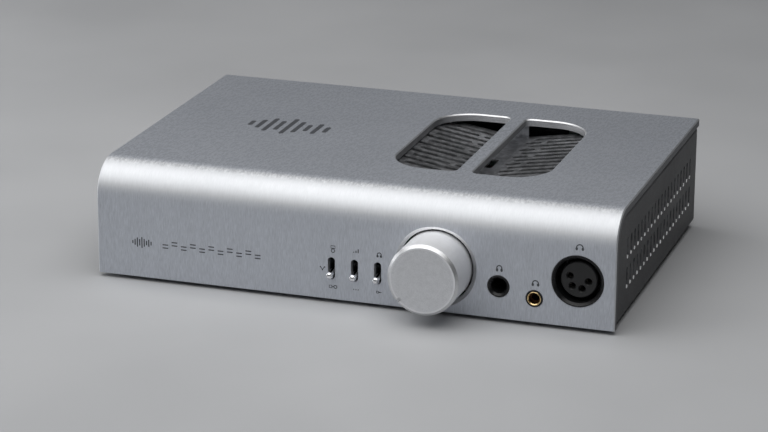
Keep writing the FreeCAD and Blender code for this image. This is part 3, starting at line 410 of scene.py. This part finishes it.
M = {
    "brushed_aluminium": metal_brushed(),
    "satin_aluminium": metal_satin(),
    "knob_aluminium": metal_turned(),
    # the tray's grey paint is given a near-black colour, painted shade on its unlit sides
    "grey_steel": powder("grey_steel", (0.022, 0.0225, 0.0245), 0.5, 0.0),
    # near-white metal, a painted highlight, for the lower ends of the side slots
    "slot_end_highlight": plated("slot_end_highlight", (0.98, 0.982, 0.985), 0.68),
    "grey_steel_light": powder("grey_steel_light", (0.34, 0.345, 0.36), 0.38, 0.9),
    "bright_steel": plated("bright_steel", (0.58, 0.58, 0.59), 0.26),
    "nickel": plated("nickel", (0.70, 0.68, 0.64), 0.15),
    "chrome": plated("chrome", (0.86, 0.865, 0.88), 0.07, 0.15),
    "gold": plated("gold", (0.88, 0.66, 0.34), 0.2),
    # a dark copy of the gold, painted shade, for the inside of the small socket's bushing
    "shaded_gold": plated("shaded_gold", (0.14, 0.075, 0.035), 0.42),
    # a dark brownish plating for the socket contacts, painted shade inside the insert's holes
    "contact": plated("contact", (0.26, 0.235, 0.20), 0.3),
    "tin": plated("tin", (0.62, 0.62, 0.60), 0.3),
    "black_steel": powder("black_steel", (0.022, 0.022, 0.024), 0.38, 0.5, 2600.0),
    "black_metal": powder("black_metal", (0.0065, 0.0065, 0.0072), 0.30, 0.0, 2400.0, 0.32),
    "black_plastic": plastic("black_plastic", (0.008, 0.008, 0.0088), 0.30, spec=0.32),
    "black_gloss_plastic": plastic("black_gloss_plastic", (0.012, 0.012, 0.013), 0.2, 900.0, 0.12),
    "insert_plastic": plastic("insert_plastic", (0.0065, 0.0066, 0.007), 0.36),
    "white_plastic": plastic("white_plastic", (0.72, 0.70, 0.66), 0.4),
    "red_plastic": plastic("red_plastic", (0.38, 0.035, 0.025), 0.28, 900.0, 0.15),
    "rubber": plastic("rubber", (0.014, 0.014, 0.014), 0.68, 1500.0, 0.5, 0.3),
    "wire_black": plastic("wire_black", (0.015, 0.015, 0.018), 0.46, 1800.0, 0.2),
    "board_laminate": laminate(),
    "tape_yellow": winding(),
    "core_steel": core(),
    "sleeve_plastic": sleeve(),
    "ceramic": plastic("ceramic", (0.40, 0.30, 0.20), 0.35),
    "milled": milled_wall(),
    "hole_bevel": hole_bevel(),
    # a dark satin aluminium, painted shade, for the cover's cut ends and for the walls and floor of the knob's index
    # groove
    "shade_aluminium": metal_satin("shade_aluminium", (0.10, 0.103, 0.112), 0.42, 1500),
    "slot_wall": powder("slot_wall", (0.085, 0.086, 0.092), 0.5, 0.0),
    "knob_edge": metal_satin("knob_edge", (0.74, 0.745, 0.757), 0.44, 3000),
    "ink": ink(),
    "ink_light": ink("print_light", (0.50, 0.50, 0.50)),
}
special = {"volume_knob": "knob_aluminium", "xlr4_insert": "insert_plastic", "xlr_in_inserts": "insert_plastic", "xlr_socket_contacts": "contact"}
slot_of = {s["node"]: s["material_slot"] for s in record["subparts"]}
for name, obj in nodes.items():
    mat = M[special.get(name, slot_of[name])]
    obj.data.materials.clear()
    obj.data.materials.append(mat)
    for p in obj.data.polygons:
        p.material_index = 0

# the cover's milled vent edges, their walls painted lighter where they face the front (painted highlight); the vent
# chamfers that face the front in a lighter satin, a painted highlight; its cut ends painted dark, painted shade; and
# the bevel round the knob's hole
cover = nodes["outer_cover"].data
cover.materials.append(M["milled"])
cover.materials.append(M["shade_aluminium"])
cover.materials.append(M["knob_edge"])
cover.materials.append(M["hole_bevel"])
for p in cover.polygons:
    c, nz = p.center, p.normal
    if abs(nz.x) > 0.9 and abs(c.x) > 0.1141:
        p.material_index = 2
    elif abs(nz.z) < 0.9 and c.z > 0.0474 and abs(c.x - VENT_X * MM) < 0.0360 and abs(c.y - VENT_Y * MM) < 0.0450:
        if abs(nz.z) < 0.3:
            p.material_index = 1
        elif nz.y < -0.2:
            p.material_index = 3
    elif c.y < -0.0753 and 0.15 < abs(nz.y) < 0.95 and 0.0150 < math.hypot(c.x - KNOB_X * MM, c.z - KNOB_Z * MM) < 0.0185:
        p.material_index = 4

# the inside of the small socket's bushing is painted a dark gold, painted shade in the bore, darker than its lip
bush = nodes["jack_35_bushing"].data
bush.materials.append(M["shaded_gold"])
for p in bush.polygons:
    c = p.center
    if c.y > -0.0761:
        p.material_index = 1

# the knob's turned front edge is brighter than its blasted sides
knob = nodes["volume_knob"].data
knob.materials.append(M["knob_edge"])
for p in knob.polygons:
    c, nz = p.center, p.normal
    if c.y < -0.0930 and 0.45 < -nz.y < 0.9 and math.hypot(c.x - KNOB_X * MM, c.z - KNOB_Z * MM) > 0.0130:
        p.material_index = 1

# the walls and floor of the knob's index groove are painted dark, painted shade in the groove
knob.materials.append(M["shade_aluminium"])
for p in knob.polygons:
    c, nz = p.center, p.normal
    dx, dz = c.x - KNOB_X * MM, c.z - KNOB_Z * MM
    r = math.hypot(dx, dz)
    if c.y < -0.0930 and r > 0.0122 and abs(nz.y) < 0.3:
        along = (nz.x * dx + nz.z * dz) / r
        if abs(along) < 0.6 or r < 0.0132:
            p.material_index = 2

# the lower, upward-facing ends of the side slots are painted near-white metal, a painted highlight; the other slot
# walls get a grey powder
tray = nodes["chassis_tray"].data
tray.materials.append(M["slot_end_highlight"])
tray.materials.append(M["slot_wall"])
for p in tray.polygons:
    c = p.center
    if 0.1119 < abs(c.x) < 0.1142 and abs(p.normal.x) < 0.5 and 0.0125 < c.z < 0.0365 and abs(c.y) < 0.067:
        p.material_index = 1 if p.normal.z > 0.12 else 2


# ---------------------------------------------------------------- printed marks
def add_mesh(name, bm, mat, body="main"):
    me = bpy.data.meshes.new(name)
    bmesh.ops.recalc_face_normals(bm, faces=bm.faces)
    bm.to_mesh(me)
    bm.free()
    ob = bpy.data.objects.new(name, me)
    scene.collection.objects.link(ob)
    me.materials.append(M[mat])
    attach(ob, body)
    return ob


def slab(bm, pts, to3d, normal, t=0.00002):
    """A thin closed plate with the outline pts, in mm, mapped by to3d."""
    n = Vector(normal) * t
    a = [bm.verts.new(to3d(u, v)) for u, v in pts]
    b = [bm.verts.new(to3d(u, v) + n) for u, v in pts]
    bm.faces.new(b)
    bm.faces.new(a[::-1])
    k = len(pts)
    for i in range(k):
        bm.faces.new((a[i], a[(i + 1) % k], b[(i + 1) % k], b[i]))


def stroke(bm, pts, w, to3d, normal, closed=False):
    """A printed line of width w through pts, one closed strip."""
    k = len(pts)
    left, right = [], []
    for i, p in enumerate(pts):
        if closed:
            a, b = pts[i - 1], pts[(i + 1) % k]
        else:
            a, b = pts[max(0, i - 1)], pts[min(k - 1, i + 1)]
        dx, dy = b[0] - a[0], b[1] - a[1]
        ln = math.hypot(dx, dy) or 1.0
        nx, ny = -dy / ln * w / 2, dx / ln * w / 2
        left.append((p[0] + nx, p[1] + ny))
        right.append((p[0] - nx, p[1] - ny))
    n = Vector(normal) * 0.00002
    rings = []
    for l_, r_ in zip(left, right):
        rings.append([bm.verts.new(to3d(*l_)), bm.verts.new(to3d(*r_)), bm.verts.new(to3d(*r_) + n), bm.verts.new(to3d(*l_) + n)])
    m = k if closed else k - 1
    for i in range(m):
        p, q = rings[i], rings[(i + 1) % k]
        for j in range(4):
            bm.faces.new((p[j], p[(j + 1) % 4], q[(j + 1) % 4], q[j]))
    if not closed:
        bm.faces.new(rings[0][::-1])
        bm.faces.new(rings[-1])


def arc(cx, cy, r, a0, a1, n=14):
    return [(cx + r * math.cos(math.radians(a0 + (a1 - a0) * i / n)), cy + r * math.sin(math.radians(a0 + (a1 - a0) * i / n))) for i in range(n + 1)]


def pill(cx, cy, w, h, n=5):
    """Outline of a bar with rounded ends."""
    r = min(w, h) / 2
    if h >= w:
        return arc(cx, cy + h / 2 - r, r, 0, 180, n) + arc(cx, cy - h / 2 + r, r, 180, 360, n)
    return arc(cx + w / 2 - r, cy, r, -90, 90, n) + arc(cx - w / 2 + r, cy, r, 90, 270, n)


YF = -76.2
BEND = 15.0
BEND_Z = 50.8 - BEND


def FRONT(u, v):
    """A point on the front, which curves back above the start of the bend."""
    y = YF
    if v > BEND_Z:
        y = YF + BEND - math.sqrt(BEND * BEND - (v - BEND_Z) ** 2)
    return Vector((u * MM, (y - 0.002) * MM, v * MM))


FN = (0, -1, 0)
TOPZ = 50.8
TOP = lambda u, v: Vector((u * MM, v * MM, (TOPZ + 0.002) * MM))
TN = (0, 0, 1)


def headphones(bm, x, z, w, h, lw=0.48):
    r = w / 2 - lw / 2
    zt = z + h / 2 - lw / 2 - r
    stroke(bm, [(x - r, z - h / 2 + h * 0.42)] + arc(x, zt, r, 180, 0, 14) + [(x + r, z - h / 2 + h * 0.42)], lw, FRONT, FN)
    for s in (-1, 1):
        slab(bm, pill(x + s * (r - 0.10), z - h / 2 + h * 0.25, 1.0, h * 0.50), FRONT, FN)


bm = bmesh.new()
headphones(bm, 65.0, 23.6, 2.62, 2.9)
headphones(bm, 80.5, 18.92, 2.95, 2.7)
headphones(bm, 98.75, 36.4, 3.25, 2.75)
headphones(bm, 13.05, 23.56, 2.1, 2.3, 0.4)
add_mesh("print_headphone_symbols", bm, "ink")

bm = bmesh.new()
lw = 0.36
# above the first switch: a box over a ring
cx, cz = -7.32, 23.95
stroke(bm, [(cx - 0.95, cz + 0.35), (cx + 0.95, cz + 0.35), (cx + 0.95, cz + 1.4), (cx - 0.95, cz + 1.4)], lw, FRONT, FN, closed=True)
stroke(bm, arc(cx, cz - 0.72, 0.78, 0, 345, 16), lw, FRONT, FN, closed=True)
# beside it: a fork of two joined lines
cx, cz = -12.0, 14.9
stroke(bm, [(cx - 0.85, cz + 0.62), (cx, cz - 0.42), (cx + 0.85, cz + 0.62)], 0.40, FRONT, FN)
for s in (-1, 1):
    slab(bm, pill(cx + s * 0.92, cz + 0.72, 0.62, 0.62), FRONT, FN)
slab(bm, pill(cx, cz - 0.6, 0.62, 0.62), FRONT, FN)
# below: a square and a ring joined by a bar
cx, cz = -7.3, 7.28
stroke(bm, [(cx - 1.65, cz - 0.58), (cx - 0.5, cz - 0.58), (cx - 0.5, cz + 0.58), (cx - 1.65, cz + 0.58)], lw, FRONT, FN, closed=True)
stroke(bm, arc(cx + 1.05, cz, 0.66, 0, 345, 16), lw, FRONT, FN, closed=True)
slab(bm, pill(cx, cz, 0.9, lw), FRONT, FN)
# second switch: rising bars above, even dots below
for i, h in enumerate((0.55, 1.1, 1.8)):
    slab(bm, pill(2.83 + 0.98 * (i - 1), 23.3 + h / 2, 0.5, h), FRONT, FN)
for i in range(3):
    slab(bm, pill(2.88 + 0.98 * (i - 1), 7.14, 0.46, 0.6), FRONT, FN)
# third switch: a small plug below
cx, cz = 12.97, 7.14
stroke(bm, [(cx - 1.05, cz - 0.42), (cx - 0.2, cz - 0.42), (cx - 0.2, cz + 0.42), (cx - 1.05, cz + 0.42)], lw, FRONT, FN, closed=True)
slab(bm, pill(cx + 0.35, cz, 0.8, 0.5), FRONT, FN)
slab(bm, pill(cx + 0.95, cz, 0.5, 0.3), FRONT, FN)
add_mesh("print_switch_symbols", bm, "ink")

# plain bar patterns in place of marks
BARS = (0.30, 0.55, 0.85, 0.60, 1.0, 0.72, 0.42, 0.66, 0.36)
bm = bmesh.new()
for i, h in enumerate(BARS):
    slab(bm, pill(-73.4 + 4.4 * i, 3.6, 2.2, 24.0 * h, 7), TOP, TN)
add_mesh("print_top_bars", bm, "ink")
bm = bmesh.new()
for i, h in enumerate(BARS):
    slab(bm, pill(-98.0 + 1.05 * i, 17.3, 0.52, 5.0 * h, 5), FRONT, FN)
for i in range(11):
    slab(bm, pill(-83.0 + 4.2 * i, 17.4, 2.7, 0.5, 5), FRONT, FN)
    if i % 2 == 0:
        slab(bm, pill(-83.0 + 4.2 * i, 16.0, 2.7, 0.5, 5), FRONT, FN)
    else:
        slab(bm, pill(-83.0 + 4.2 * i, 18.8, 2.7, 0.5, 5), FRONT, FN)
add_mesh("print_front_bars", bm, "ink")


# ---------------------------------------------------------------- rear marks and rings
YW = 75.7
REAR = lambda u, v: Vector((u * MM, (YW + 0.002) * MM, v * MM))
RN = (0, 1, 0)
bm = bmesh.new()
for x0, x1, z in ((-55.5, -10.5, 8.6), (-7.5, 37.5, 8.6), (42.0, 66.5, 8.6)):
    stroke(bm, [(x0, z + 1.2), (x0, z), (x1, z), (x1, z + 1.2)], 0.4, REAR, RN)
for x in (-45.0, -21.0):
    slab(bm, [(x - 1.2, 6.9), (x + 1.2, 6.9), (x, 5.2)], REAR, RN)
for x in (3.0, 27.0):
    slab(bm, [(x - 1.2, 5.2), (x + 1.2, 5.2), (x, 6.9)], REAR, RN)
for i in range(9):
    h = BARS[i]
    slab(bm, pill(-40.0 + 1.6 * i, 40.5, 0.8, 5.0 * h, 5), REAR, RN)
add_mesh("print_rear_lines", bm, "ink_light")


def ring_y(bm, x, z, r0, r1, y0, y1, n=40):
    """A closed ring round an axis along Y, its outer corner broken."""
    k = 0.12
    prof = [(r0, y0), (r1, y0), (r1, y1 - k), (r1 - k, y1), (r0, y1)]
    rows = []
    for i in range(n):
        a = 2 * math.pi * i / n
        rows.append([bm.verts.new(((x + r * math.cos(a)) * MM, y * MM, (z + r * math.sin(a)) * MM)) for r, y in prof])
    for i in range(n):
        p, q = rows[i], rows[(i + 1) % n]
        for j in range(len(prof)):
            bm.faces.new((p[j], p[(j + 1) % len(prof)], q[(j + 1) % len(prof)], q[j]))


for name, z, mat, slot in (("phono_rings_upper", 31.0, "white_plastic", "white_plastic"), ("phono_rings_lower", 15.5, "red_plastic", "red_plastic")):
    bm = bmesh.new()
    for x in (47.5, 61.0):
        ring_y(bm, x, z, 4.2, 4.88, YW + 0.605, YW + 0.95)
    add_mesh(name, bm, mat)


# ---------------------------------------------------------------- small parts on the board
PZ = 8.8
tv, tf, tag = [], [], []
for nm, ob in nodes.items():
    if nm in ("outer_cover", "vent_trough", "chassis_tray", "trough_studs", "trough_nuts"):
        continue
    mw = ob.matrix_world
    base = len(tv)
    tv += [mw @ v.co for v in ob.data.vertices]
    tf += [tuple(base + i for i in p.vertices) for p in ob.data.polygons]
    tag += [nm] * len(ob.data.polygons)
tree = BVHTree.FromPolygons(tv, tf)


def free(x, y, hx, hy):
    for dx in (-hx, 0, hx):
        for dy in (-hy, 0, hy):
            hit = tree.ray_cast(Vector(((x + dx) * MM, (y + dy) * MM, 0.046)), Vector((0, 0, -1)))
            if hit[0] is None or tag[hit[2]] != "main_circuit_board" or abs(hit[0].z - PZ * MM) > 1e-5:
                return False
    return True


def brick(bm, x0, x1, y0, y1, z0, z1, k=0.06):
    """A small block with its top edges broken."""
    lo = [bm.verts.new((a * MM, b * MM, z0 * MM)) for a, b in ((x0, y0), (x1, y0), (x1, y1), (x0, y1))]
    mi = [bm.verts.new((a * MM, b * MM, (z1 - k) * MM)) for a, b in ((x0, y0), (x1, y0), (x1, y1), (x0, y1))]
    hi = [bm.verts.new((a * MM, b * MM, z1 * MM)) for a, b in ((x0 + k, y0 + k), (x1 - k, y0 + k), (x1 - k, y1 - k), (x0 + k, y1 - k))]
    bm.faces.new(lo[::-1])
    bm.faces.new(hi)
    for a, b in ((lo, mi), (mi, hi)):
        for i in range(4):
            bm.faces.new((a[i], a[(i + 1) % 4], b[(i + 1) % 4], b[i]))


b_body, b_cap, b_end = bmesh.new(), bmesh.new(), bmesh.new()
spots = []
xs = [v.co.x * 1000 for v in nodes["main_circuit_board"].data.vertices]
ys = [v.co.y * 1000 for v in nodes["main_circuit_board"].data.vertices]
for tryn in range(900):
    x = round(random.uniform(min(xs) + 2, max(xs) - 2) / 1.5) * 1.5
    y = round(random.uniform(min(ys) + 2, max(ys) - 2) / 1.5) * 1.5
    if any(abs(x - a) < 3.2 and abs(y - b) < 3.2 for a, b in spots):
        continue
    if not free(x, y, 1.5, 1.5):
        continue
    spots.append((x, y))
    along = random.random() < 0.5
    hx, hy = (1.0, 0.62) if along else (0.62, 1.0)
    res = random.random() < 0.6
    h = 0.5 if res else 0.95
    e = 0.32
    if along:
        brick(b_body if res else b_cap, x - hx + e, x + hx - e, y - hy, y + hy, PZ + 0.04, PZ + h)
        for sx in (-1, 1):
            x0, x1 = sorted((x + sx * (hx - e + 0.01), x + sx * hx))
            brick(b_end, x0, x1, y - hy, y + hy, PZ + 0.02, PZ + h + 0.02)
    else:
        brick(b_body if res else b_cap, x - hx, x + hx, y - hy + e, y + hy - e, PZ + 0.04, PZ + h)
        for sy in (-1, 1):
            y0, y1 = sorted((y + sy * (hy - e + 0.01), y + sy * hy))
            brick(b_end, x - hx, x + hx, y0, y1, PZ + 0.02, PZ + h + 0.02)
    if len(spots) >= 110:
        break
add_mesh("board_small_resistors", b_body, "black_plastic")
add_mesh("board_small_capacitors", b_cap, "ceramic")
add_mesh("board_small_ends", b_end, "tin")


# ---------------------------------------------------------------- stage and light
bm = bmesh.new()
bmesh.ops.create_grid(bm, x_segments=1, y_segments=1, size=6.0)
me = bpy.data.meshes.new("floor")
bm.to_mesh(me)
bm.free()
floor = bpy.data.objects.new("floor", me)
scene.collection.objects.link(floor)
floor.location = (0, 0, -0.0001)
fm = Mat("floor").set(spec=0.3)
n1 = fm.noise(6.0, 3.0, 0.5)
n2 = fm.noise(900.0, 2.0, 0.5)
fm.color(fm.mix(fm.range(n1, 0.0, 1.0, 0.35, 0.65), (0.40, 0.405, 0.415), (0.44, 0.445, 0.455)))
fm.rough(fm.range(n1, 0.55, 0.65, 0.3, 0.7))
fm.bump(n2, 0.1, 0.00005)
me.materials.append(fm.m)

world = bpy.data.worlds.new("world")
scene.world = world
world.use_nodes = True
wt = world.node_tree
bg = wt.nodes["Background"]
# a plain studio: lighter in front and to the left, darker behind and to the right
w_co = wt.nodes.new("ShaderNodeTexCoord")
w_sp = wt.nodes.new("ShaderNodeSeparateXYZ")
w_ax = wt.nodes.new("ShaderNodeMath")
w_ay = wt.nodes.new("ShaderNodeMath")
w_mr = wt.nodes.new("ShaderNodeMapRange")
w_ax.operation, w_ay.operation = "MULTIPLY", "MULTIPLY_ADD"
w_ax.inputs[1].default_value, w_ay.inputs[1].default_value = -0.5, -0.6
w_mr.interpolation_type = "SMOOTHSTEP"
for i, v in enumerate((-0.6, 0.5, 0.015, 0.12)):
    w_mr.inputs[1 + i].default_value = v
wt.links.new(w_co.outputs["Generated"], w_sp.inputs[0])
wt.links.new(w_sp.outputs[0], w_ax.inputs[0])
wt.links.new(w_sp.outputs[1], w_ay.inputs[0])
wt.links.new(w_ax.outputs[0], w_ay.inputs[2])
wt.links.new(w_ay.outputs[0], w_mr.inputs[0])
wt.links.new(w_mr.outputs[0], bg.inputs[1])
bg.inputs[0].default_value = (0.90, 0.94, 1.0, 1.0)


def area(name, loc, target, size, power, col=(1, 1, 1), size_y=None):
    d = bpy.data.lights.new(name, "AREA")
    d.shape = "RECTANGLE"
    d.size, d.size_y = size, size_y or size
    d.energy = power
    d.color = col
    o = bpy.data.objects.new(name, d)
    scene.collection.objects.link(o)
    o.location = loc
    o.rotation_mode = "QUATERNION"
    o.rotation_quaternion = (Vector(target) - Vector(loc)).to_track_quat("-Z", "Y")
    return o


area("over", (-0.24, -0.27, 0.84), (-0.24, -0.07, 0.04), 1.60, 13.2, (1.0, 0.998, 0.992), 1.30)
area("left", (-1.2, 0.45, 0.42), (0.0, -0.05, 0.03), 0.6, 1.3, (0.97, 0.98, 1.0))
area("low", (-1.0, 0.02, 0.16), (0.0, -0.08, 0.03), 0.45, 1.6, (0.98, 0.99, 1.0), 0.22)

scene.view_settings.view_transform = "Standard"
scene.view_settings.look = "None"
scene.view_settings.exposure = 0.0
scene.view_settings.gamma = 1.0
